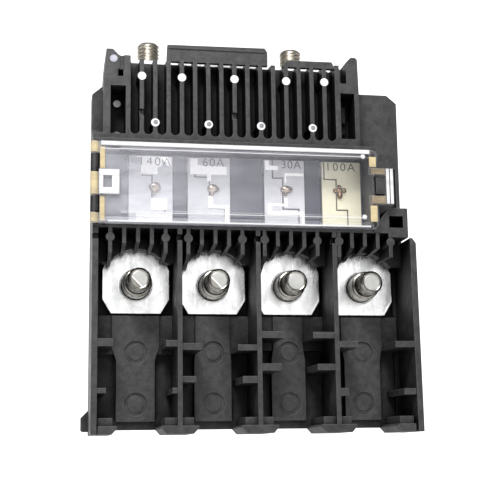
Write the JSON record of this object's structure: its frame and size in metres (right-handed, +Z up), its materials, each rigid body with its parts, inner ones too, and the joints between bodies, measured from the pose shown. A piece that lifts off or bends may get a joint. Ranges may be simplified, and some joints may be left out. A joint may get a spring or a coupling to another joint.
{
  "type": "automotive fusible link block",
  "caption": "Moulded battery fuse block: terminal bays with bolt-on studs below a fuse chamber under a hinged clear cover, finned conductor guard above.",
  "frame": {"origin": "on the rear mounting face, at the height of the row of output studs, midway across", "axes": "+X right seen from the front, +Z up, the front faces -Y"},
  "size_m": [0.0819, 0.0396, 0.1042],
  "materials": {
    "black_pbt": "satin",
    "clear_polycarbonate": "clear, slightly aged",
    "tin_plated_copper": "bright tin plating",
    "fuse_link_140": "tin plating",
    "fuse_link_60": "tin plating",
    "fuse_link_30": "tin plating",
    "fuse_link_100": "warm tin plating",
    "tin_solder": "melted tin",
    "tin_plated_steel": "tin plated, turned",
    "yellow_zinc_steel": "yellow zinc plated, threaded"
  },
  "bodies": {
    "base": {"housing": "black_pbt", "busbar": "tin_plated_copper", "fuse_link_1": "fuse_link_140", "fuse_link_2": "fuse_link_60", "fuse_link_3": "fuse_link_30", "fuse_link_4": "fuse_link_100", "tin_bead_1": "tin_solder", "tin_bead_2": "tin_solder", "tin_bead_3": "tin_solder", "tin_bead_4": "tin_solder", "terminal_plate_1": "tin_plated_copper", "terminal_plate_2": "tin_plated_copper", "terminal_plate_3": "tin_plated_copper", "terminal_plate_4": "tin_plated_copper", "output_stud_1": "tin_plated_steel", "output_stud_2": "tin_plated_steel", "output_stud_3": "tin_plated_steel", "output_stud_4": "tin_plated_steel", "input_stud_1": "yellow_zinc_steel", "input_stud_2": "yellow_zinc_steel"},
    "cover": {"clear_cover": "clear_polycarbonate"}
  },
  "joints": [
    {"name": "cover_hinge", "type": "hinge", "parent": "base", "child": "cover", "pos_m": [-0.0397, -0.0216, 0.0228], "axis": [0, 0, -1], "range_deg": [0, 110]}
  ]
}
